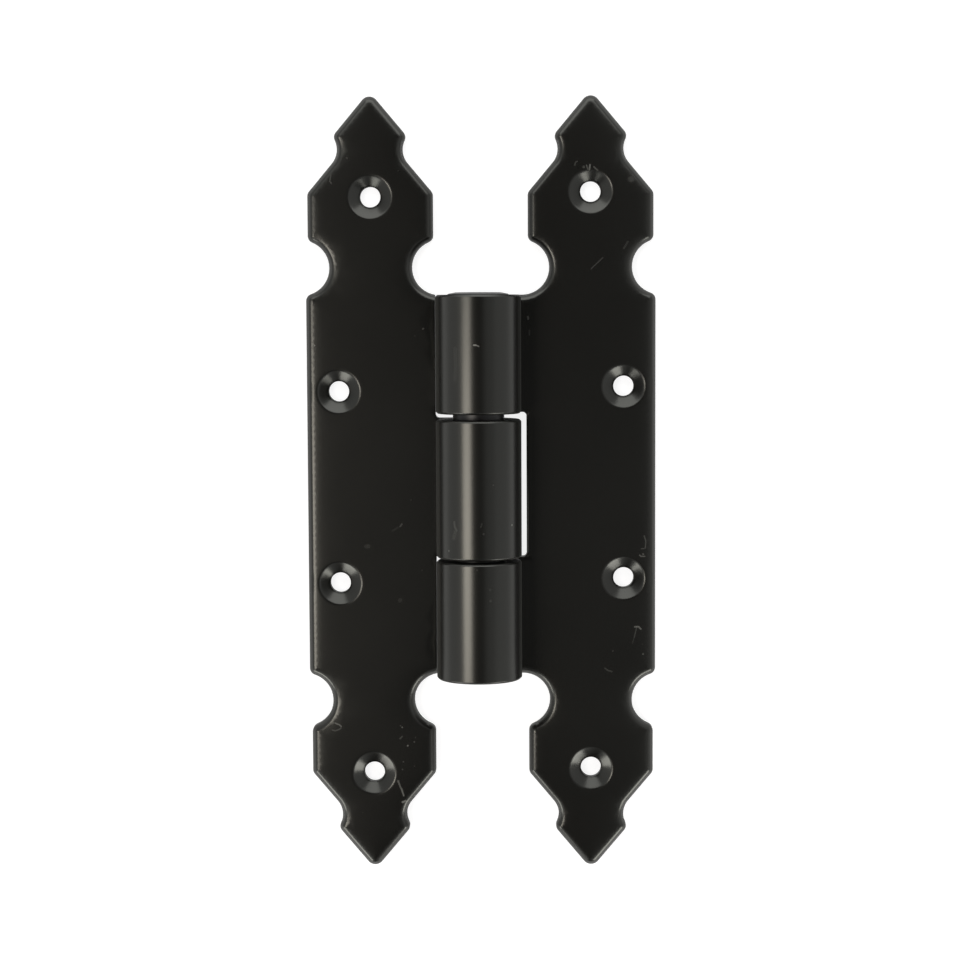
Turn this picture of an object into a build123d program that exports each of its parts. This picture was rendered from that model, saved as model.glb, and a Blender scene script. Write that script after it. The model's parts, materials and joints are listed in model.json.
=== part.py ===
from build123d import *
import os
from math import asin, cos, radians, sin, sqrt

# A decorative butt hinge with a three-knuckle barrel and spear finials, opened flat on its back.
# X runs from the left leaf to the right one, Y along the pin and Z out of the face.
# The origin lies under the middle of the pin, on the plane that the backs are screwed to.
# Sizes are millimetres. A leaf's own outline is given as u, outwards from the line through its
# two finials, and v, from the middle of the hinge towards either end.

# Sheet, barrel and pin
sheet = 3.0              # thickness of both leaves
bore_r = 4.65            # inside of the rolled knuckles
pin_clearance = 0.05     # all round the pin
seam_gap = 0.3           # between a roll's free end and the face of its own leaf
head_r = 5.45            # the pin's spread ends, closed over the barrel
head_edge = 0.15         # thickness at the rim
head_rise = 0.45         # thickness at the crown
crown_r = 4.0            # flat crown, with a slope from it to the rim

# Knuckles along the pin
barrel_half = 34.45      # half the barrel, and half the plate between its notches
knuckle_length = 24.8    # the left leaf's single knuckle
knuckle_middle = -0.13   # how far it sits above the middle of the hinge
upper_gap = 1.05
lower_gap = 0.5

# Outline of a leaf
left_reach = 19.45       # from the pin to the line through the left leaf's finials
right_reach = 20.25
plate_half = 11.7        # from that line to the plate's outer edge
left_slot_gap = 0.2      # from the barrel's side to the slot edge in the left leaf
right_slot_gap = 0.95
slot_round = 0.7

# Finial
tip_height = 70.0        # from the middle of the hinge to the end of a finial
slope = 40.0             # degrees between a finial's sloping edges and the pin
tip_round = 1.65
neck_half = 5.89         # half width at the neck
neck_r = 3.81            # scallop that makes the neck
neck_drop = 9.4          # from the tip down to the neck
block_half = 11.3        # half width of the straight-sided block
notch_half = 7.45        # half width between the two round notches
notch_r = 4.95
corner_round = 1.3       # outward corners of the outline

# Edges: in front two bevels share the turn from the face to the side, and at the back there is one
front_in = 1.2           # the upper bevel, inwards along the face
front_down = 0.6         # and down the side
front_side = 0.5         # the lower bevel, off the ridge that the upper one leaves
back_bevel = 0.35

# Countersunk screw holes
hole_r = 1.85
sink_r = 3.85
sink_angle = 107
finial_hole_drop = 17.55   # from a tip down to the hole below it
plate_hole_out = 5.95      # outwards from the line through the finials
plate_hole_half = 17.45    # half the distance between the plate's two holes
left_hole_shift = -0.35    # each leaf's holes sit a little off its middle
right_hole_shift = 0.45

# Worked out from the sizes above
barrel_r = bore_r + sheet
pin_r = bore_r - pin_clearance
knuckle_top = knuckle_middle + knuckle_length / 2
knuckle_foot = knuckle_middle - knuckle_length / 2
left_slot = barrel_r + left_slot_gap
right_slot = barrel_r + right_slot_gap

# The two sloping edges of a finial share one normal, across them and outwards.
across_u = cos(radians(slope))
across_v = sin(radians(slope))
apex_v = tip_height + tip_round * (1 / across_v - 1)
neck_u = neck_half + neck_r
neck_v = tip_height - neck_drop
neck_across = across_u * neck_u + across_v * neck_v

# The tip's edge runs into the neck's scallop at the shoulder, and the scallop runs out of it
# again where the lower edge touches it.
past_edge = neck_across - across_v * apex_v
along_edge = sqrt(neck_r**2 - past_edge**2)
shoulder = (
    neck_u - past_edge * across_u - along_edge * across_v,
    neck_v - past_edge * across_v + along_edge * across_u,
)
neck_end = (neck_u - neck_r * across_u, neck_v - neck_r * across_v)
block_top = (neck_across - neck_r - across_u * block_half) / across_v

# A notch touches the line of the plate's end, and cuts the sides of the block and the plate.
notch_u = notch_half + notch_r
notch_v = barrel_half + notch_r
block_foot = notch_v + sqrt(notch_r**2 - (notch_u - block_half) ** 2)
plate_top = notch_v - sqrt(notch_r**2 - (notch_u - plate_half) ** 2)

near = 0.01  # how close a corner or an edge lies to the place that it is picked by


def cut_leaf(side, reach, slot, slots):
    """A leaf's flat blank, cut from the sheet, with slots for the other leaf's knuckles.

    side is 1 for the right leaf and -1 for the left. slots holds the low and high end of each.
    """
    with BuildSketch() as outline:
        with BuildLine():
            for end in (1, -1):
                for away in (1, -1):

                    def at(u, v):
                        return (side * (reach + away * u), end * v)

                    Line(at(0, apex_v), at(*shoulder))
                    ThreePointArc(at(*shoulder), at(neck_half, neck_v), at(*neck_end))
                    Line(at(*neck_end), at(block_half, block_top))
                    Line(at(block_half, block_top), at(block_half, block_foot))
                    notch_foot = at(plate_half, plate_top)
                    if away < 0:
                        notch_foot = at(notch_u, barrel_half)
                        Line(notch_foot, (0, end * barrel_half))
                    ThreePointArc(at(block_half, block_foot), at(notch_half, notch_v), notch_foot)
            outer = side * (reach + plate_half)
            Line((outer, plate_top), (outer, -plate_top))
            Line((0, barrel_half), (0, -barrel_half))
        make_face()

        def corners(u, v):
            found = outline.vertices().filter_by(lambda c: abs(abs(abs(c.X) - reach) - u) < near)
            return found.filter_by(lambda c: abs(abs(c.Y) - v) < near)

        fillet(corners(0, apex_v), tip_round)
        fillet(corners(*shoulder), corner_round)
        fillet(corners(block_half, block_top), corner_round)
        fillet(corners(block_half, block_foot), corner_round)
        fillet(corners(plate_half, plate_top), corner_round)

        for low, high in slots:
            with Locations((side * slot / 2, (low + high) / 2)):
                Rectangle(slot, high - low, mode=Mode.SUBTRACT)
        inner = outline.vertices().filter_by(lambda c: abs(abs(c.X) - slot) < near)
        fillet(inner.filter_by(lambda c: abs(c.Y) < barrel_half - near), slot_round)
    extrude(outline.sketch, amount=sheet)


def roll_knuckle(side, low, high):
    """One knuckle: the sheet turns up from the back and round the pin, away from its own leaf,
    over the front, and ends just above the leaf's face."""
    end_angle = asin((sheet + seam_gap - barrel_r) / barrel_r)
    reach_out = cos(end_angle)
    rise = sin(end_angle)
    root = side * bore_r
    with BuildSketch(Plane.XZ.offset(-high)) as section:
        with BuildLine():
            outer_end = (side * barrel_r * reach_out, barrel_r + barrel_r * rise)
            inner_end = (side * bore_r * reach_out, barrel_r + bore_r * rise)
            ThreePointArc((0, 0), (0, 2 * barrel_r), outer_end)
            Line(outer_end, inner_end)
            ThreePointArc((0, sheet), (0, barrel_r + bore_r), inner_end)
            Polyline((0, sheet), (root, sheet), (root, 0), (0, 0))
        make_face()
    extrude(section.sketch, amount=high - low)


def bevel_front(leaf, slot):
    """The turned-down front edge, all round the outline but not in the slots."""
    face = leaf.faces().sort_by(Axis.Z)[-1]
    rim = face.outer_wire().edges().filter_by(lambda e: abs(e.center().X) > slot + near)
    chamfer(rim, front_in, front_down, reference=face)
    foot = sheet - front_down
    ridge = leaf.edges().filter_by_position(Axis.Z, foot - near, foot + near)
    chamfer(ridge.filter_by(lambda e: abs(e.center().X) > slot + near), front_side)


def bevel_back(leaf):
    """The small bevel along the back edge, which runs on round the rims of the knuckles."""
    face = leaf.faces().filter_by(Axis.Z).sort_by(Axis.Z)[0]
    chamfer(face.outer_wire().edges().filter_by(lambda e: abs(e.center().X) > near), back_bevel)


def drill_leaf(x, plate_x, shift):
    """A countersunk hole in each finial and two more near the plate's outer edge."""
    finial_y = tip_height - finial_hole_drop
    places = [(x, finial_y), (x, -finial_y), (plate_x, plate_hole_half), (plate_x, -plate_hole_half)]
    for hole_x, hole_y in places:
        with Locations((hole_x, hole_y + shift, sheet)):
            CounterSinkHole(hole_r, sink_r, depth=sheet, counter_sink_angle=sink_angle)


# Left leaf, with the middle knuckle
with BuildPart() as left_leaf:
    left_slots = [(knuckle_top, notch_v), (-notch_v, knuckle_foot)]
    cut_leaf(-1, left_reach, left_slot, left_slots)
    bevel_front(left_leaf, left_slot)
    roll_knuckle(-1, knuckle_foot, knuckle_top)
    bevel_back(left_leaf)
    drill_leaf(-left_reach, -left_reach - plate_hole_out, left_hole_shift)
left_leaf.part.label = "left_leaf"

# Right leaf, with the two outer knuckles
with BuildPart() as right_leaf:
    right_slots = [(knuckle_foot - lower_gap, knuckle_top + upper_gap)]
    cut_leaf(1, right_reach, right_slot, right_slots)
    bevel_front(right_leaf, right_slot)
    roll_knuckle(1, knuckle_top + upper_gap, barrel_half)
    roll_knuckle(1, -barrel_half, knuckle_foot - lower_gap)
    bevel_back(right_leaf)
    drill_leaf(right_reach, right_reach + plate_hole_out, right_hole_shift)
right_leaf.part.label = "right_leaf"

# Hinge pin, a plain rod whose two ends are spread over the ends of the barrel
with BuildPart() as hinge_pin:
    with BuildSketch(Plane.XY.offset(barrel_r)):
        crown = barrel_half + head_rise
        rim = barrel_half + head_edge
        with BuildLine():
            for end in (1, -1):
                Polyline(
                    (0, end * crown),
                    (crown_r, end * crown),
                    (head_r, end * rim),
                    (head_r, end * barrel_half),
                    (pin_r, end * barrel_half),
                    (pin_r, 0),
                )
            Line((0, crown), (0, -crown))
        make_face()
    revolve(axis=Axis((0, 0, barrel_r), (0, 1, 0)))
hinge_pin.part.label = "hinge_pin"

os.makedirs("parts", exist_ok=True)
export_step(left_leaf.part, "parts/left_leaf.step")
export_step(right_leaf.part, "parts/right_leaf.step")
export_step(hinge_pin.part, "parts/hinge_pin.step")
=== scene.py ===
"""A decorative butt hinge with its black coat, its handling marks and a soft studio round it.

Lengths are metres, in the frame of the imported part: X runs from the left leaf to the right one,
Y along the pin and Z out of the face. The hinge lies on its back, on the floor at Z = 0.
"""

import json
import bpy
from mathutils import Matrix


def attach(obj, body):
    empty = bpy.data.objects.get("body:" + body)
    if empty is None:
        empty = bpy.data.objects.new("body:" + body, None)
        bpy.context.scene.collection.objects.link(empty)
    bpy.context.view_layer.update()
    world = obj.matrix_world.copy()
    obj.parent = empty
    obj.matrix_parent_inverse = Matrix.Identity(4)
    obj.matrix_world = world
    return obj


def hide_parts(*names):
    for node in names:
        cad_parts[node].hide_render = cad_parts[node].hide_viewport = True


bl_info = {
    "name": "Decorative hinge",
    "version": (1, 0, 0),
    "blender": (4, 5, 0),
    "location": "View3D > Sidebar > Hinge",
    "description": "Coats the hinge's leaves and pin, marks them with wear and sets up the studio",
    "category": "Object",
}

from math import radians, sqrt, tan

import bmesh
import bpy
import numpy as np
from mathutils import Euler, Vector
from mathutils.geometry import delaunay_2d_cdt

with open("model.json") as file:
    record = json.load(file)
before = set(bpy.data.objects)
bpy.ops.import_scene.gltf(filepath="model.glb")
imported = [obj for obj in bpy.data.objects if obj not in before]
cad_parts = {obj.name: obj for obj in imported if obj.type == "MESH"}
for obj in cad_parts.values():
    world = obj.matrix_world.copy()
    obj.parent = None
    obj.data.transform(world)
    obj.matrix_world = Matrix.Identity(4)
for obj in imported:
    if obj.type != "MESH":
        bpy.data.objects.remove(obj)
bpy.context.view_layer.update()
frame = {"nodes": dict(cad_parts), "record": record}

MM = 0.001
NEAR = 0.01 * MM
MERGE_GAP = 0.002 * MM     # corners of a skin that lie closer than this are one corner
LEAVES = {"left_leaf": "left_side", "right_leaf": "right_side"}

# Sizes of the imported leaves
SHEET = 3.0 * MM
EDGE_DROP = 1.1 * MM       # height that the front edge gives away to its rounding
BARREL_R = 7.65            # in millimetres, of the rolled knuckles
HOLE_R = 1.85 * MM
SINK_R = 3.85 * MM
SINK_ANGLE = 107           # degrees
SINK_RISE = tan(radians(90 - SINK_ANGLE / 2))      # of a countersink's wall, over its run

# Spacing of the points on a leaf's front
RING_STEP = 0.45 * MM
RING_DEPTHS = [depth * MM for depth in (0.2, 0.4, 0.55, 0.7, 0.85, 1.0, 1.15, 1.35, 1.7, 2.2, 3.0, 4.0)]
RING_SHARE = 0.97          # of its depth, which a ring's point keeps from the whole outline
SINK_STEPS = 60
SINK_RINGS = [radius * MM for radius in (2.3, 2.8, 3.2, 3.5, 3.68, 3.79, 3.9, 4.02, 4.2, 4.5, 4.9)]
SINK_CLEARANCE = 0.3 * MM  # between the last ring round a countersink and the other points
GRID_STEP = 2.0 * MM

# How a face is told by its normal: the least rise of a face of the front, how nearly straight down
# the back faces, how nearly along an axis a cut face does, and the turn that makes an edge sharp
FRONT_FACING = 0.05
BACK_FACING = 0.9999
CUT_FACING = 0.95
SHARP_ANGLE = radians(38)

# Number of the vertex group with the points inside a leaf's fine front
FINE_FRONT = 0

# Attribute that is 1 on the sheet's cut faces beside the barrel, and how far from the barrel's
# side the wall of a slot still counts as one of them, in millimetres
CUT_FACE = "cut_face"
CUT_REACH = 0.5

# The coat's fine relief in millimetres, as heights and sizes
GRAIN_HEIGHT = 0.0024
GRAIN_SIZE = 0.35
RIPPLE_HEIGHT = 0.002
RIPPLE_SIZE = 2.2

# Clouds in which the coat drifts: their size in millimetres, the share of the colour that they
# take or add, and the range of roughness
CLOUD_SIZE = 16
CLOUD_SHARE = 0.15
CLOUD_ROUGHNESS = 0.03

# How far a surface is turned away, from 0 to 1, where the coat starts to be duller and where it
# is at its dullest
GRAZING_FROM = 0.55
GRAZING_TO = 0.8

# A dust speck's size as a share of its cell, and the cell's number from which it holds a speck
DUST_SIZE = 0.05
DUST_PICK = 0.55

# The share of a mark's half width that has its full strength, and the roughness that it adds there
MARK_CORE = 0.3
MARK_ROUGHNESS = 0.2

COAT_IOR = 1.5

# Handling marks, in millimetres: half width, how much it lightens the coat, and the points that it
# runs through. One point is a speck. The left leaf has the middle knuckle.
MARKS = {
    "left_leaf": [
        (0.18, 0.16, [(-26.4, 56.0), (-26.6, 54.9), (-26.3, 54.5)]),
        (0.25, 0.12, [(-23.5, 59.0)]),
        (0.18, 0.10, [(-14.3, 56.7)]),
        (0.22, 0.35, [(-10.0, 28.4)]),
        (0.20, 0.06, [(-11.5, 27.1)]),
        (0.22, 0.35, [(-29.7, 25.4)]),
        (0.25, 0.05, [(-15.8, -8.2), (-14.8, -7.6)]),
        (0.20, 0.20, [(-14.4, -7.4), (-14.1, -7.0)]),
        (0.55, 0.07, [(-20.6, -11.0), (-20.2, -11.0)]),
        (0.20, 0.08, [(-12.4, -2.6)]),
        (0.55, 0.07, [(-14.5, -20.9)]),
        (0.20, 0.08, [(-10.5, -15.4)]),
        (0.20, 0.32, [(-26.6, -43.5), (-25.8, -43.8), (-25.5, -44.1)]),
        (0.20, 0.14, [(-25.5, -44.4), (-25.9, -44.7), (-26.5, -44.9), (-27.1, -44.8)]),
        (0.18, 0.14, [(-14.6, -44.0)]),
        (0.20, 0.40, [(-14.3, -44.3)]),
        (0.20, 0.14, [(-14.7, -46.4), (-14.3, -46.0)]),
        (0.20, 0.20, [(-12.1, -47.0)]),
        (0.18, 0.08, [(-11.9, -46.2)]),
        (0.22, 0.40, [(-13.3, -47.7)]),
        (0.20, 0.20, [(-14.1, -50.7)]),
        (0.18, 0.08, [(-12.1, -51.5)]),
        (0.18, 0.16, [(-14.3, -52.1)]),
        (0.32, 0.28, [(-15.1, -54.3)]),
        (0.22, 0.30, [(-15.1, -54.3), (-14.7, -55.4), (-14.5, -55.7)]),
        (0.22, 0.40, [(-14.5, -55.7), (-14.1, -57.0)]),
        (0.30, 0.60, [(-14.3, -58.2), (-13.7, -58.0), (-13.1, -58.3)]),
        (0.18, 0.16, [(-13.1, -57.4)]),
        (0.30, 0.14, [(-4.3, -5.6), (-4.2, -6.4), (-3.9, -7.1)]),
        (0.60, 0.07, [(-4.1, -7.3), (-4.4, -8.4)]),
        (0.28, 0.26, [(-5.3, -10.8)]),
        (0.16, 0.50, [(-6.2, -12.4), (-5.6, -12.5)]),
        (0.18, 0.75, [(-3.8, -12.4)]),
        (0.16, 0.60, [(-2.9, -12.5), (-2.2, -12.5)]),
        (0.20, 0.08, [(0.6, -5.8), (0.4, -6.4)]),
        (0.25, 0.14, [(0.9, -7.6)]),
        (0.25, 0.80, [(5.9, -6.3)]),
        (0.22, 0.12, [(2.6, 1.0)]),
    ],
    "right_leaf": [
        (0.18, 0.14, [(17.4, 57.5), (17.5, 58.0), (17.8, 58.2)]),
        (0.32, 0.22, [(19.0, 57.2)]),
        (0.18, 0.24, [(19.5, 57.5), (19.7, 56.8)]),
        (0.20, 0.45, [(20.1, 57.6), (20.0, 56.6)]),
        (0.18, 0.24, [(20.8, 57.2), (21.5, 56.6)]),
        (0.80, 0.12, [(27.5, 55.0)]),
        (0.16, 0.12, [(20.3, 39.0), (22.4, 41.0)]),
        (0.30, 0.08, [(26.2, 42.7), (26.9, 43.8)]),
        (0.20, 0.20, [(8.9, 30.5), (9.0, 30.0)]),
        (0.20, 0.08, [(9.2, 28.0), (9.2, 27.2)]),
        (0.18, 0.22, [(29.9, -9.3), (30.2, -10.2), (30.1, -11.5)]),
        (0.18, 0.16, [(29.4, -11.6), (29.9, -11.6)]),
        (0.20, 0.30, [(29.1, -12.8), (29.3, -13.0), (30.0, -13.0)]),
        (0.25, 0.30, [(29.7, -12.6)]),
        (0.22, 0.40, [(28.2, -25.9), (28.9, -25.9), (29.3, -26.3)]),
        (0.16, 0.14, [(28.5, -26.2), (28.1, -27.8)]),
        (0.16, 0.07, [(28.1, -27.8), (27.8, -28.9)]),
        (0.22, 0.32, [(29.7, -30.9)]),
        (0.18, 0.06, [(29.6, -29.1)]),
        (0.22, 0.12, [(24.2, -30.3)]),
        (0.20, 0.12, [(22.8, -33.5), (23.3, -33.9), (24.0, -34.1)]),
        (0.20, 0.90, [(-0.7, 25.6), (-0.3, 25.6)]),
        (0.15, 0.55, [(-0.3, 25.6), (0.2, 25.4)]),
        (0.55, 0.04, [(-4.0, 25.0), (-3.9, 22.0), (-4.1, 19.5)]),
        (0.30, 0.08, [(2.0, -17.5)]),
        (0.30, 0.12, [(2.1, -19.5)]),
        (0.25, 0.10, [(-0.3, -14.0)]),
    ],
}


# Shader writing

# Sockets of a Mix node that mixes colours, by number, because its sockets share their names
MIX_SHARE = 0
MIX_FIRST = 6
MIX_SECOND = 7
MIX_COLOUR = 2


class Value:
    """A number in a shader. Arithmetic on it adds Math nodes to the material that it belongs to."""

    def __init__(self, shader, socket):
        self.shader = shader
        self.socket = socket

    def __add__(self, other):
        return self.shader.math("ADD", self, other)

    def __sub__(self, other):
        return self.shader.math("SUBTRACT", self, other)

    def __mul__(self, other):
        return self.shader.math("MULTIPLY", self, other)

    def __truediv__(self, other):
        return self.shader.math("DIVIDE", self, other)

    def __radd__(self, other):
        return self.shader.math("ADD", other, self)

    def __rsub__(self, other):
        return self.shader.math("SUBTRACT", other, self)

    def __rmul__(self, other):
        return self.shader.math("MULTIPLY", other, self)

    def __rtruediv__(self, other):
        return self.shader.math("DIVIDE", other, self)

    def least(self, other):
        """The smaller of this value and another."""
        return self.shader.math("MINIMUM", self, other)

    def most(self, other):
        """The larger of this value and another."""
        return self.shader.math("MAXIMUM", self, other)

    def clamped(self):
        """This value, kept between 0 and 1."""
        return self.shader.math("ADD", self, 0.0, clamp=True)

    def ramp(self, low, high):
        """0 below low, 1 above high and a smooth step between them. low may be the larger."""
        node = self.shader.node(
            "ShaderNodeMapRange",
            {"interpolation_type": "SMOOTHSTEP"},
            {"Value": self, "From Min": low, "From Max": high},
        )
        return Value(self.shader, node.outputs["Result"])


class Shader:
    """The node tree of one material or world, with one method that adds any node."""

    def __init__(self, tree):
        self.tree = tree
        tree.nodes.clear()

    def node(self, kind, settings=None, inputs=None):
        """Adds a node. Its settings are set first, then each input is given a value or a link."""
        node = self.tree.nodes.new(kind)
        for name, value in (settings or {}).items():
            setattr(node, name, value)
        for name, value in (inputs or {}).items():
            if isinstance(value, Value):
                value = value.socket
            if isinstance(value, bpy.types.NodeSocket):
                self.tree.links.new(value, node.inputs[name])
            else:
                node.inputs[name].default_value = value
        return node

    def math(self, operation, first, second, clamp=False):
        settings = {"operation": operation, "use_clamp": clamp}
        node = self.node("ShaderNodeMath", settings, {0: first, 1: second})
        return Value(self, node.outputs[0])

    def vector(self, operation, first, second=(0, 0, 0), scale=1.0):
        """A Vector Math node. Returns its vector, or its number for a length or a dot product."""
        inputs = {0: first, "Scale": scale} if operation == "SCALE" else {0: first, 1: second}
        node = self.node("ShaderNodeVectorMath", {"operation": operation}, inputs)
        if operation in ("LENGTH", "DOT_PRODUCT", "DISTANCE"):
            return Value(self, node.outputs["Value"])
        return node.outputs["Vector"]

    def place(self):
        """The point being shaded, in the piece's own coordinates, which are the part's."""
        return self.node("ShaderNodeTexCoord").outputs["Object"]

    def attribute(self, name):
        """A number that the mesh holds for each of its faces."""
        return Value(self, self.node("ShaderNodeAttribute", {"attribute_name": name}).outputs["Fac"])

    def share_of(self, vector, axis):
        """One of a vector's three numbers."""
        return Value(self, self.node("ShaderNodeSeparateXYZ", None, {0: vector}).outputs[axis])

    def noise(self, place, size, detail=2.0, roughness=0.5):
        """Soft noise from 0 to 1 whose lumps are about size across."""
        inputs = {"Vector": place, "Scale": 1 / size, "Detail": detail, "Roughness": roughness}
        return Value(self, self.node("ShaderNodeTexNoise", None, inputs).outputs["Fac"])

    def gap_to_segment(self, place, start, end):
        """Distance from place to a segment: the foot of the perpendicular is held between the
        segment's two ends."""
        along = Vector(end) - Vector(start)
        offset = self.vector("SUBTRACT", place, start)
        share = self.vector("DOT_PRODUCT", offset, along) / along.length_squared
        foot = self.vector("SCALE", along, scale=share.clamped())
        return self.vector("DISTANCE", offset, foot)

    def mixed(self, share, first, second):
        """The first colour where share is 0 and the second where it is 1."""
        inputs = {MIX_SHARE: share, MIX_FIRST: first, MIX_SECOND: second}
        return self.node("ShaderNodeMix", {"data_type": "RGBA"}, inputs).outputs[MIX_COLOUR]

    def facing_away(self):
        """0 where the surface is seen straight on, rising to 1 where it is seen edge on."""
        return Value(self, self.node("ShaderNodeLayerWeight").outputs["Facing"])

    def seen(self):
        """1 for the rays that show this surface in the picture, in a reflection or through glass."""
        rays = self.node("ShaderNodeLightPath").outputs
        camera = Value(self, rays["Is Camera Ray"])
        glossy = Value(self, rays["Is Glossy Ray"])
        return (camera + glossy + Value(self, rays["Is Transmission Ray"])).clamped()


def new_material(name):
    material = bpy.data.materials.new(name)
    material.use_nodes = True
    return material, Shader(material.node_tree)


def opaque(colour):
    return (*colour, 1.0)


# Settings


class CoatSettings(bpy.types.PropertyGroup):
    colour: bpy.props.FloatVectorProperty(
        name="Coat", description="Colour of the black coat", subtype="COLOR", size=3,
        default=(0.0026, 0.0024, 0.0020), min=0, max=1,
    )
    tint: bpy.props.FloatVectorProperty(
        name="Coat tint", description="Tint of the light that the coat mirrors", subtype="COLOR",
        size=3, default=(0.985, 1.0, 0.935), min=0, max=1,
    )
    roughness: bpy.props.FloatProperty(
        name="Roughness", description="Roughness of the satin coat", subtype="FACTOR",
        default=0.262, min=0, max=1,
    )
    grazing_roughness: bpy.props.FloatProperty(
        name="Grazing roughness", description="Roughness that the satin coat gains where it is "
        "seen at a flat angle", subtype="FACTOR", default=0.35, min=0, max=1,
    )
    cut_roughness: bpy.props.FloatProperty(
        name="Cut roughness", description="Roughness of the sheet's cut faces beside the barrel",
        subtype="FACTOR", default=0.55, min=0, max=1,
    )
    rim_softness: bpy.props.FloatProperty(
        name="Rim softness", description="Rounding that the coat leaves on sharp edges",
        subtype="DISTANCE", unit="LENGTH", default=0.06 * MM, min=0,
    )
    sink_softness: bpy.props.FloatProperty(
        name="Countersink softness", description="Softness of the countersinks' outer rims",
        subtype="DISTANCE", unit="LENGTH", default=0.05 * MM, min=0.01 * MM,
    )
    edge_width: bpy.props.FloatProperty(
        name="Edge width", description="Width over which the front edge turns down steeply",
        subtype="DISTANCE", unit="LENGTH", default=0.72 * MM, min=0.05 * MM,
    )
    edge_knee: bpy.props.FloatProperty(
        name="Edge knee", description="Softness of the knee between the steep edge and the face",
        subtype="DISTANCE", unit="LENGTH", default=0.14 * MM, min=0.02 * MM,
    )
    roll_width: bpy.props.FloatProperty(
        name="Roll width", description="Width of the gentle roll beside the edge",
        subtype="DISTANCE", unit="LENGTH", default=1.15 * MM, min=0.05 * MM,
    )
    roll_depth: bpy.props.FloatProperty(
        name="Roll depth", description="Depth of the gentle roll at the edge",
        subtype="DISTANCE", unit="LENGTH", default=0.26 * MM, min=0,
    )
    mark_colour: bpy.props.FloatVectorProperty(
        name="Marks", description="Colour of the handling marks at their strongest",
        subtype="COLOR", size=3, default=(0.2, 0.2, 0.185), min=0, max=1,
    )
    mark_depth: bpy.props.FloatProperty(
        name="Mark depth", description="Depth of the strongest mark", subtype="DISTANCE",
        unit="LENGTH", default=0.02 * MM, min=0,
    )
    dust: bpy.props.FloatProperty(
        name="Dust", description="How much the brightest specks of dust lighten the coat",
        subtype="FACTOR", default=0.09, min=0, max=1,
    )
    dust_spacing: bpy.props.FloatProperty(
        name="Dust spacing", description="Size of the cells that hold a speck each",
        subtype="DISTANCE", unit="LENGTH", default=2.4 * MM, min=0.5 * MM,
    )


class PinSettings(bpy.types.PropertyGroup):
    colour: bpy.props.FloatVectorProperty(
        name="Pin", description="Colour of the pin", subtype="COLOR", size=3,
        default=(0.004, 0.004, 0.004), min=0, max=1,
    )
    roughness: bpy.props.FloatProperty(
        name="Roughness", description="Roughness of the pin", subtype="FACTOR",
        default=0.4, min=0, max=1,
    )
    rim_softness: bpy.props.FloatProperty(
        name="Rim softness", description="Rounding of the edges of the pin's spread ends",
        subtype="DISTANCE", unit="LENGTH", default=0.1 * MM, min=0,
    )


class StudioSettings(bpy.types.PropertyGroup):
    world_level: bpy.props.FloatProperty(
        name="Surrounding light", description="Level of the white surroundings", default=0.3, min=0,
    )
    floor_colour: bpy.props.FloatVectorProperty(
        name="Floor", description="Colour of the pale floor", subtype="COLOR", size=3,
        default=(0.3, 0.3, 0.3), min=0, max=1,
    )
    floor_glow: bpy.props.FloatProperty(
        name="Floor glow", description="White that the floor adds where it is seen", default=0.85,
        min=0, max=1,
    )
    card_colour: bpy.props.FloatVectorProperty(
        name="Cards", description="Colour of the dark cards", subtype="COLOR", size=3,
        default=(0.02, 0.02, 0.02), min=0, max=1,
    )
    card_grey: bpy.props.FloatProperty(
        name="Card grey", description="Light that the cards' right end gives off", default=0.56,
        min=0,
    )
    card_glow: bpy.props.FloatProperty(
        name="Card glow", description="Light that the middle of each card's faint glow gives off",
        default=0.16, min=0,
    )
    left_strip: bpy.props.FloatProperty(
        name="Left strip", description="Power of the strip high on the left, in watts",
        default=1.48, min=0,
    )
    low_left_box: bpy.props.FloatProperty(
        name="Low left box", description="Power of the low lamp in front on the left, in watts",
        default=0.115, min=0,
    )
    low_right_box: bpy.props.FloatProperty(
        name="Low right box", description="Power of the low lamp in front on the right, in watts",
        default=0.15, min=0,
    )
    far_box: bpy.props.FloatProperty(
        name="Far box", description="Power of the low lamp beyond the hinge's far end, in watts",
        default=0.26, min=0,
    )


# Pieces


def merged_copy(node):
    """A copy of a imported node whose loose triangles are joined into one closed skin."""
    shape = bmesh.new()
    shape.from_mesh(frame["nodes"][node].data)
    bmesh.ops.remove_doubles(shape, verts=shape.verts, dist=MERGE_GAP)
    return shape


def screw_holes(node):
    """Centre of each countersunk hole in a leaf, in plan, from the record's bolt patterns."""
    centres = []
    side = node.split("_")[0]
    for mount in frame["record"]["mounts"]:
        if mount["kind"] == "bolt_pattern" and mount["name"].startswith(side):
            x, y = mount["pos_m"][:2]
            half = mount["dims"]["spacing_y_mm"] * MM / 2
            centres += [(x, y + half), (x, y - half)]
    return np.array(centres)


def gap_to_segments(points, starts, ends):
    """Distance from each point to the nearest of some segments: the foot of the perpendicular is
    held between a segment's two ends."""
    along = ends - starts
    offset = points[:, None] - starts
    share = (offset * along).sum(2) / (along**2).sum(1)
    nearest = starts + along * np.clip(share, 0, 1)[..., None]
    return np.linalg.norm(points[:, None] - nearest, axis=2).min(1)


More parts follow.
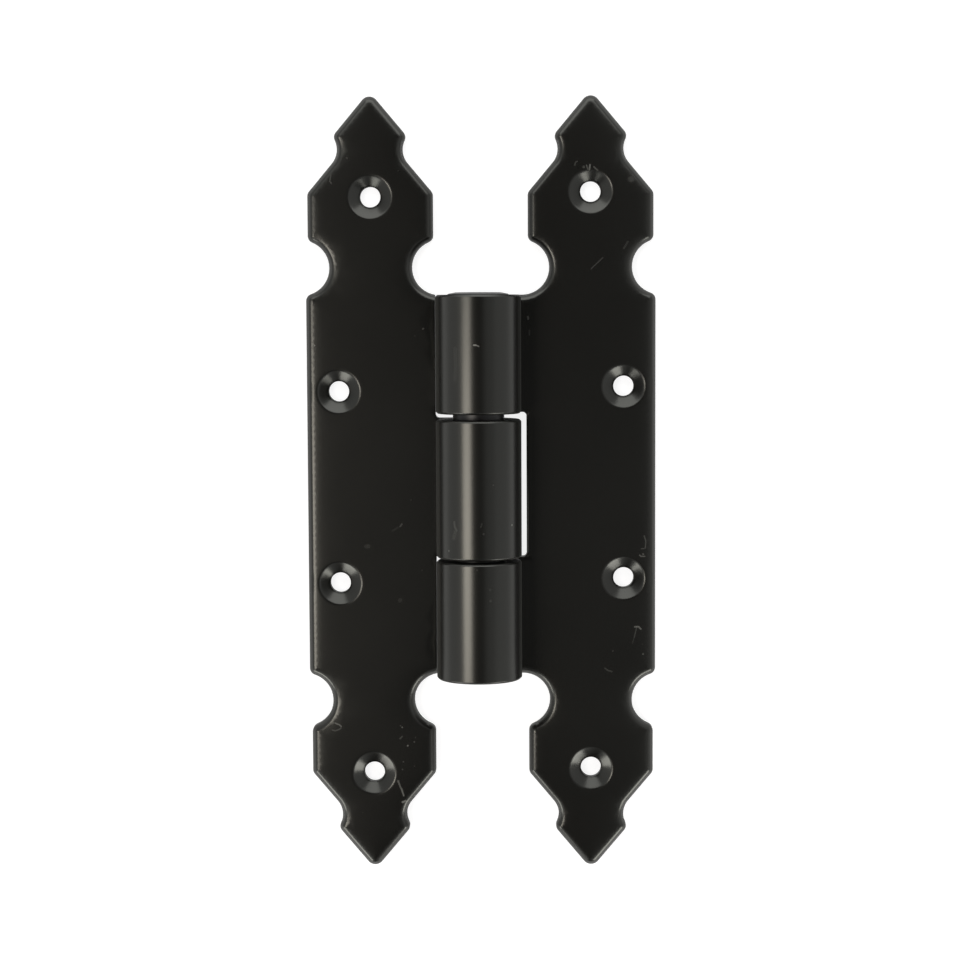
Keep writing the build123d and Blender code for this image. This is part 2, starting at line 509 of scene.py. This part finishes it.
def front_height(points, outline, holes, settings):
    """Height of a leaf's front over points in plan.

    The face lies at the sheet's thickness. Within the edge's width from the outline it turns
    down at a steady slope, with a soft knee, and a gentle exponential roll leads up to that.
    Each countersink is a cone, joined to the face by a smooth minimum, so its rim is soft.
    """
    gap = gap_to_segments(points, *outline)
    knee = settings.edge_knee
    steady = np.log1p(np.exp((settings.edge_width - gap) / knee))
    steady_most = np.log1p(np.exp(settings.edge_width / knee))
    gentle = settings.roll_depth * np.exp(-gap / settings.roll_width)
    face = SHEET - (EDGE_DROP - settings.roll_depth) * steady / steady_most - gentle
    radius = np.linalg.norm(points[:, None] - holes, axis=2).min(1)
    cone = SHEET - (SINK_R - radius) * SINK_RISE
    soft = settings.sink_softness
    return -soft * np.log(np.exp(-face / soft) + np.exp(-cone / soft))


def rings_inside(starts, ends, inward):
    """Points at set distances inside an outline, in step along each of its segments."""
    length = np.linalg.norm(ends - starts, axis=1)
    counts = np.maximum(1, np.round(length / RING_STEP).astype(int))
    owner = np.repeat(np.arange(len(starts)), counts)
    first = np.repeat(np.cumsum(counts) - counts, counts)
    share = (np.arange(len(owner)) - first + 0.5) / counts[owner]
    on_line = starts[owner] + (ends - starts)[owner] * share[:, None]
    rings = []
    for index, depth in enumerate(RING_DEPTHS):
        step = max(1, int(depth / RING_STEP))
        ring = on_line[index % step :: step] + inward[owner][index % step :: step] * depth
        rings.append(ring[gap_to_segments(ring, starts, ends) > depth * RING_SHARE])
    return np.concatenate(rings)


def rings_round_holes(holes):
    """Points on circles round each hole, with every second circle turned by half a step."""
    turns = np.arange(SINK_STEPS) / SINK_STEPS
    rings = []
    for index, radius in enumerate(SINK_RINGS):
        angle = 2 * np.pi * (turns + (index % 2) / (2 * SINK_STEPS))
        circle = radius * np.stack([np.cos(angle), np.sin(angle)], 1)
        rings.append((holes[:, None] + circle).reshape(-1, 2))
    return np.concatenate(rings)


def even_grid(low, high, step):
    """A grid of points between two corners, with every second row moved by half a step."""
    x, y = np.meshgrid(np.arange(low[0], high[0], step), np.arange(low[1], high[1], step))
    x = x + (np.arange(len(x)) % 2)[:, None] * step / 2
    return np.stack([x.ravel(), y.ravel()], 1)


def triangulate(points, edges):
    """Triangles over points in plan, inside the loops that the edges close. Gives the corners, the
    triangles, and the number of the point that each corner was, or -1 for a new one."""
    inside = 1
    tolerance = 1e-6
    plan = [Vector(point) for point in points / MM]
    found = delaunay_2d_cdt(plan, edges.tolist(), [], inside, tolerance)
    corners = np.array([tuple(corner) for corner in found[0]]) * MM
    source = np.array([origin[0] if origin else -1 for origin in found[3]])
    return corners, np.array(found[2]), source


def is_front(face):
    """Whether a packed face is part of a leaf's front: the flat face, its bevels, a countersink,
    or the small upright step between the bevels and the root of an end knuckle."""
    low = min(v.co.z for v in face.verts)
    high = max(v.co.z for v in face.verts)
    sink_foot = SHEET - (SINK_R - HOLE_R) * SINK_RISE
    if high > SHEET + NEAR:
        return False
    if face.normal.z > FRONT_FACING:
        return low > sink_foot - NEAR
    return abs(face.normal.x) > CUT_FACING and low > SHEET - EDGE_DROP - NEAR


def regrid_front(shape, node, settings):
    """Gives a leaf's skin a fine front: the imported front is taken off, and a height field over a
    triangulated plan is merged with the edge that is left."""
    holes = screw_holes(node)
    packed = [face for face in shape.faces if is_front(face)]
    bmesh.ops.delete(shape, geom=packed, context="FACES")
    border = [edge for edge in shape.edges if len(edge.link_faces) == 1]
    verts = list(dict.fromkeys(v for edge in border for v in edge.verts))
    for index, vert in enumerate(verts):
        vert.index = index
    plan = np.array([v.co.xy for v in verts])
    height = np.array([v.co.z for v in verts])
    pairs = np.array([[v.index for v in edge.verts] for edge in border])
    walls = np.array([edge.link_faces[0].normal.xy for edge in border])

    # An upright edge has no length in plan, so it is no part of an outline there.
    lying = np.linalg.norm(plan[pairs[:, 0]] - plan[pairs[:, 1]], axis=1) > NEAR
    pairs, walls = pairs[lying], walls[lying]

    foot = SHEET - EDGE_DROP + NEAR
    low = (height[pairs] < foot).all(1)
    far = (np.linalg.norm(plan[pairs].mean(1)[:, None] - holes, axis=2) > SINK_R).all(1)
    rolled = low & far
    outline = (plan[pairs[rolled, 0]], plan[pairs[rolled, 1]])
    inward = -walls[rolled] / np.linalg.norm(walls[rolled], axis=1, keepdims=True)

    height = np.where(height > foot, front_height(plan, outline, holes, settings), height)
    for vert, top in zip(verts, height.tolist()):
        vert.co.z = top

    starts, ends = plan[pairs[:, 0]], plan[pairs[:, 1]]
    rings = rings_inside(*outline, inward)
    grid = even_grid(plan.min(0), plan.max(0), GRID_STEP)
    grid = grid[gap_to_segments(grid, *outline) > RING_DEPTHS[-1] + GRID_STEP / 2]
    inner = np.concatenate([rings, grid])
    inner = inner[gap_to_segments(inner, starts, ends) > RING_DEPTHS[0] / 2]
    to_sink = np.linalg.norm(inner[:, None] - holes, axis=2).min(1)
    clear = to_sink > SINK_RINGS[-1] + SINK_CLEARANCE
    inner = np.concatenate([inner[clear], rings_round_holes(holes)])

    corners, triangles, source = triangulate(np.concatenate([plan, inner]), pairs)
    centres = corners[triangles].mean(1)
    metal = np.linalg.norm(centres[:, None] - holes, axis=2).min(1) > HOLE_R
    tops = front_height(corners, outline, holes, settings)
    on_border = (source >= 0) & (source < len(verts))
    tops[on_border] = height[source[on_border]]
    front = bpy.data.meshes.new(node + "_front")
    front.from_pydata(np.column_stack([corners, tops]).tolist(), [], triangles[metal].tolist())
    shape.from_mesh(front)
    bpy.data.meshes.remove(front)
    bmesh.ops.remove_doubles(shape, verts=shape.verts, dist=MERGE_GAP)
    loose = [v for v in shape.verts if not v.link_faces]
    bmesh.ops.delete(shape, geom=loose, context="VERTS")
    bmesh.ops.recalc_face_normals(shape, faces=shape.faces)


def finish_piece(shape, name, body, material):
    """Turns a skin into a piece that rides on a body and takes its finish from a slot. It is
    shaded smooth, but for the plane of its back."""
    for face in shape.faces:
        back = face.normal.z < -BACK_FACING and face.calc_center_median().z < NEAR
        face.smooth = not back
    mesh = bpy.data.meshes.new(name)
    shape.to_mesh(mesh)
    shape.free()
    mesh.materials.clear()
    mesh.materials.append(material)
    piece = bpy.data.objects.new(name, mesh)
    bpy.context.scene.collection.objects.link(piece)
    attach(piece, body)
    return piece


def mark_fine_front(shape):
    """Lists the points inside a leaf's fine front, which is smooth by itself, in a vertex group."""
    layer = shape.verts.layers.deform.verify()
    for vert in shape.verts:
        steep = any(face.normal.z <= FRONT_FACING for face in vert.link_faces)
        if vert.co.z < SHEET + NEAR and not steep:
            vert[layer][FINE_FRONT] = 1.0


def mark_cut_faces(shape):
    """Tells the sheet's cut faces beside the barrel, for their rougher coat: the knuckles' ends,
    and the walls of a slot that lies close to the barrel."""
    layer = shape.faces.layers.float.new(CUT_FACE)
    for face in shape.faces:
        across = abs(face.calc_center_median().x) / MM
        end = abs(face.normal.y) > CUT_FACING and across < BARREL_R
        wall = abs(face.normal.x) > CUT_FACING and BARREL_R < across < BARREL_R + CUT_REACH
        face[layer] = float(end or wall)


def weigh_edges(shape):
    """Marks each edge that turns by more than the sharp angle for the bevel."""
    layer = shape.edges.layers.float.new("bevel_weight_edge")
    for edge in shape.edges:
        if edge.is_manifold and edge.calc_face_angle() > SHARP_ANGLE:
            edge[layer] = 1.0


def soften_edges(piece, width):
    """Rounds the marked edges a little and keeps the flat faces shaded flat. A fine front keeps
    its own smooth shading."""
    bevel = piece.modifiers.new("soft edges", "BEVEL")
    bevel.limit_method = "WEIGHT"
    bevel.width = width
    bevel.segments = 2
    bevel.use_clamp_overlap = False
    weighted = piece.modifiers.new("flat faces", "WEIGHTED_NORMAL")
    weighted.mode = "FACE_AREA_WITH_ANGLE"
    weighted.keep_sharp = True
    weighted.weight = 100
    if piece.vertex_groups:
        weighted.vertex_group = piece.vertex_groups[FINE_FRONT].name
        weighted.invert_vertex_group = True


class HINGE_OT_leaves(bpy.types.Operator):
    """Coat both leaves, with a fine front, soft edges and their handling marks"""

    bl_idname = "hinge.leaves"
    bl_label = "Leaves"

    def execute(self, context):
        settings = context.scene.hinge_coat
        for node, body in LEAVES.items():
            shape = merged_copy(node)
            regrid_front(shape, node, settings)
            mark_fine_front(shape)
            mark_cut_faces(shape)
            weigh_edges(shape)
            material = coat_material(node, settings)
            piece = finish_piece(shape, node + "_coated", body, material)
            piece.vertex_groups.new(name="fine front")
            soften_edges(piece, settings.rim_softness)
            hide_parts(node)
        return {"FINISHED"}


def on_front(x, y):
    """The point of a leaf's front that lies over x and y, all in millimetres. Inside the barrel's
    width that is the round of a knuckle, and outside it is the flat face."""
    if abs(x) < BARREL_R:
        return x, y, BARREL_R + sqrt(BARREL_R**2 - x**2)
    return x, y, SHEET / MM


def handling_marks(shader, place, marks):
    """How much the marks lighten the coat at place. Each fades out towards its sides, and where
    two meet the stronger one shows."""
    strongest = 0.0
    for half_width, strength, points in marks:
        corners = [Vector(on_front(*point)) * MM for point in points]
        if len(corners) == 1:
            gap = shader.vector("DISTANCE", place, corners[0])
        else:
            gap = shader.gap_to_segment(place, corners[0], corners[1])
            for start, end in zip(corners[1:], corners[2:]):
                gap = gap.least(shader.gap_to_segment(place, start, end))
        mark = gap.ramp(half_width * MM, half_width * MARK_CORE * MM) * strength
        strongest = mark.most(strongest)
    return strongest


def dust(shader, place, settings):
    """Fine specks, at most one in each cell of a Voronoi texture and none in most cells."""
    cells = shader.node(
        "ShaderNodeTexVoronoi", None, {"Vector": place, "Scale": 1 / settings.dust_spacing}
    )
    pick = Value(shader, cells.outputs["Color"])
    gap = Value(shader, cells.outputs["Distance"])
    return gap.ramp(DUST_SIZE, DUST_SIZE / 3) * pick.ramp(DUST_PICK, 1.0)


def coat_material(node, settings):
    """The satin black coat of one leaf, with its grain, its dust and the leaf's own marks."""
    material, shader = new_material(node + "_coat")
    place = shader.place()
    grain = shader.noise(place, GRAIN_SIZE * MM, detail=2)
    ripple = shader.noise(place, RIPPLE_SIZE * MM, detail=1)
    cloud = shader.noise(place, CLOUD_SIZE * MM, detail=3)
    marks = handling_marks(shader, place, MARKS[node])
    specks = dust(shader, place, settings) * settings.dust
    height = grain * GRAIN_HEIGHT + ripple * RIPPLE_HEIGHT - marks * settings.mark_depth / MM
    bump = shader.node("ShaderNodeBump", None, {"Distance": MM, "Height": height})
    low = [channel * (1 - CLOUD_SHARE) for channel in settings.colour]
    high = [channel * (1 + CLOUD_SHARE) for channel in settings.colour]
    coat = shader.mixed(cloud, opaque(low), opaque(high))
    grazing = shader.facing_away().ramp(GRAZING_FROM, GRAZING_TO) * settings.grazing_roughness
    drift = (cloud - 0.5) * CLOUD_ROUGHNESS
    rough = settings.roughness + drift + marks * MARK_ROUGHNESS + grazing
    surface = shader.node(
        "ShaderNodeBsdfPrincipled",
        None,
        {
            "Base Color": shader.mixed(marks.most(specks), coat, opaque(settings.mark_colour)),
            "Roughness": rough.most(shader.attribute(CUT_FACE) * settings.cut_roughness),
            "IOR": COAT_IOR,
            "Specular Tint": opaque(settings.tint),
            "Normal": bump.outputs["Normal"],
        },
    )
    shader.node("ShaderNodeOutputMaterial", None, {"Surface": surface.outputs[0]})
    return material


def pin_material(settings):
    """The pin's plain black finish, a little duller than the leaves' coat."""
    material, shader = new_material("pin_coat")
    surface = shader.node(
        "ShaderNodeBsdfPrincipled",
        None,
        {
            "Base Color": opaque(settings.colour),
            "Roughness": settings.roughness,
            "IOR": COAT_IOR,
        },
    )
    shader.node("ShaderNodeOutputMaterial", None, {"Surface": surface.outputs[0]})
    return material


class HINGE_OT_pin(bpy.types.Operator):
    """Coat the pin, which shows in the gaps between the knuckles and at both ends"""

    bl_idname = "hinge.pin"
    bl_label = "Pin"

    def execute(self, context):
        settings = context.scene.hinge_pin
        shape = merged_copy("hinge_pin")
        weigh_edges(shape)
        material = pin_material(settings)
        piece = finish_piece(shape, "hinge_pin_coated", "right_side", material)
        soften_edges(piece, settings.rim_softness)
        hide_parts("hinge_pin")
        return {"FINISHED"}


# Studio

# The floor's side in metres, and its height, just under the backs
FLOOR_SIDE = 6.0
FLOOR_HEIGHT = -0.05 * MM

# Black cards, in millimetres and degrees: width, height, centre and turn about X, Y and Z
CARDS = {
    "overhead_card": (570, 650, (135, 25, 450), (0, 0, 0)),
    "front_card": (200, 450, (10, -300, 225), (90, 0, 0)),
}

# The cards turn grey to the right, between these two distances from their own middle, in mm
CARD_GREY_FROM = -95
CARD_GREY_TO = 65

# A faint glow in each card, in mm: its middle, in the card's own coordinates, and its radius
GLOW_PLACE = (-130, -85, 0)
GLOW_RADIUS = 170

# Soft lamps, in millimetres: centre, the point that it faces, width, height and colour
LAMPS = {
    "left_strip": ((-345, -75, 580), (0, -10, 10), 205, 250, (1.0, 0.92, 0.84)),
    "low_left_box": ((-96, -128, 46), (0, 0, 10), 84, 75, (1.0, 0.98, 0.93)),
    "low_right_box": ((104, -140, 50), (0, 0, 10), 88, 90, (1.0, 0.98, 0.93)),
    "far_box": ((0, 165, 86), (0, 0, 10), 220, 170, (1.0, 1.0, 0.99)),
}

# The camera's place in millimetres, its turn in radians, and its lens and sensor
CAMERA_PLACE = (5.307, 32.381, 408.105)
CAMERA_TURN = (-0.0773, 0.0127, -0.0036)
CAMERA_LENS = 84.09
CAMERA_SENSOR = 36.0

# How near and how far the camera sees, in metres
CAMERA_NEAR = 0.01
CAMERA_FAR = 20.0


def add_light(name, place, aim, width, height, colour, watts):
    """A soft rectangular lamp that stands at place and faces aim, all in millimetres."""
    lamp = bpy.data.lights.new(name, "AREA")
    lamp.shape = "RECTANGLE"
    lamp.size = width * MM
    lamp.size_y = height * MM
    lamp.color = colour
    lamp.energy = watts
    light = bpy.data.objects.new(name, lamp)
    light.location = Vector(place) * MM
    light.rotation_euler = (Vector(aim) - Vector(place)).to_track_quat("-Z", "Y").to_euler()
    light.visible_camera = False
    bpy.context.scene.collection.objects.link(light)


def flat_panel(name, width, height, place, turn, material):
    """A rectangle of width by height, turned by the Euler angles and moved to place."""
    corners = np.array([(-0.5, -0.5, 0), (0.5, -0.5, 0), (0.5, 0.5, 0), (-0.5, 0.5, 0)])
    mesh = bpy.data.meshes.new(name)
    mesh.from_pydata((corners * (width, height, 1)).tolist(), [], [(0, 1, 2, 3)])
    mesh.materials.append(material)
    panel = bpy.data.objects.new(name, mesh)
    panel.location = place
    panel.rotation_euler = turn
    bpy.context.scene.collection.objects.link(panel)
    return panel


def glowing_material(name, colour, light):
    """A matt surface that also gives off white light. light is handed the new shader, and returns
    how much."""
    material, shader = new_material(name)
    matt = shader.node("ShaderNodeBsdfDiffuse", None, {"Color": opaque(colour)})
    glow = shader.node("ShaderNodeEmission", None, {"Color": light(shader)})
    both = shader.node("ShaderNodeAddShader", None, {0: matt.outputs[0], 1: glow.outputs[0]})
    shader.node("ShaderNodeOutputMaterial", None, {"Surface": both.outputs[0]})
    return material


def card_light(shader, settings):
    """The grey of a card's right end and its faint glow, which fades with the distance."""
    place = shader.place()
    across = shader.share_of(place, "X") / MM
    grey = across.ramp(CARD_GREY_FROM, CARD_GREY_TO) * settings.card_grey
    away = shader.vector("DISTANCE", place, Vector(GLOW_PLACE) * MM)
    return grey + away.ramp(GLOW_RADIUS * MM, 0) * settings.card_glow


def add_floor(settings):
    """The pale floor that the hinge lies on, which keeps its shadow."""
    material = glowing_material(
        "floor", settings.floor_colour, lambda shader: shader.seen() * settings.floor_glow
    )
    flat_panel("floor", FLOOR_SIDE, FLOOR_SIDE, (0, 0, FLOOR_HEIGHT), (0, 0, 0), material)


def add_cards(settings):
    """The cards that the coat mirrors. The camera itself doesn't see them."""
    material = glowing_material(
        "card", settings.card_colour, lambda shader: card_light(shader, settings)
    )
    for name, (width, height, place, turn) in CARDS.items():
        corner = Vector(place) * MM
        angles = [radians(angle) for angle in turn]
        panel = flat_panel(name, width * MM, height * MM, corner, angles, material)
        panel.visible_camera = False


def add_world(level):
    """White surroundings at full strength where they are seen, and at a level as a light."""
    world = bpy.data.worlds.new("studio")
    world.use_nodes = True
    bpy.context.scene.world = world
    shader = Shader(world.node_tree)
    strength = level + shader.seen() * (1 - level)
    background = shader.node("ShaderNodeBackground", None, {"Strength": strength})
    shader.node("ShaderNodeOutputWorld", None, {"Surface": background.outputs[0]})


def add_camera():
    """The camera stands in front of the face, turned a little from the face's own axes."""
    lens = bpy.data.cameras.new("camera")
    lens.lens = CAMERA_LENS
    lens.sensor_width = CAMERA_SENSOR
    lens.clip_start = CAMERA_NEAR
    lens.clip_end = CAMERA_FAR
    camera = bpy.data.objects.new("camera", lens)
    camera.location = Vector(CAMERA_PLACE) * MM
    camera.rotation_mode = "ZYX"
    camera.rotation_euler = Euler(CAMERA_TURN, "ZYX")
    bpy.context.scene.collection.objects.link(camera)
    bpy.context.scene.camera = camera


class HINGE_OT_studio(bpy.types.Operator):
    """Build the floor, the black cards, the lamps, the world and the camera"""

    bl_idname = "hinge.studio"
    bl_label = "Studio"

    def execute(self, context):
        settings = context.scene.hinge_studio
        add_floor(settings)
        add_cards(settings)
        for name, (place, aim, width, height, colour) in LAMPS.items():
            add_light(name, place, aim, width, height, colour, getattr(settings, name))
        add_world(settings.world_level)
        add_camera()
        context.scene.view_settings.view_transform = "Standard"
        return {"FINISHED"}


class HINGE_PT_panel(bpy.types.Panel):
    """The hinge's settings and the operators that build it"""

    bl_label = "Decorative hinge"
    bl_idname = "HINGE_PT_panel"
    bl_space_type = "VIEW_3D"
    bl_region_type = "UI"
    bl_category = "Hinge"

    def draw(self, context):
        layout = self.layout
        for group in (context.scene.hinge_coat, context.scene.hinge_pin, context.scene.hinge_studio):
            box = layout.box()
            for name in group.bl_rna.properties.keys():
                if name not in ("rna_type", "name"):
                    box.prop(group, name)
        for operator in (HINGE_OT_leaves, HINGE_OT_pin, HINGE_OT_studio):
            layout.operator(operator.bl_idname)


classes = (
    CoatSettings,
    PinSettings,
    StudioSettings,
    HINGE_OT_leaves,
    HINGE_OT_pin,
    HINGE_OT_studio,
    HINGE_PT_panel,
)


def register():
    for cls in classes:
        bpy.utils.register_class(cls)
    bpy.types.Scene.hinge_coat = bpy.props.PointerProperty(type=CoatSettings)
    bpy.types.Scene.hinge_pin = bpy.props.PointerProperty(type=PinSettings)
    bpy.types.Scene.hinge_studio = bpy.props.PointerProperty(type=StudioSettings)


def unregister():
    del bpy.types.Scene.hinge_studio
    del bpy.types.Scene.hinge_pin
    del bpy.types.Scene.hinge_coat
    for cls in reversed(classes):
        bpy.utils.unregister_class(cls)


def main():
    register()
    bpy.ops.hinge.leaves()
    bpy.ops.hinge.pin()
    bpy.ops.hinge.studio()


if __name__ == "__main__":
    main()
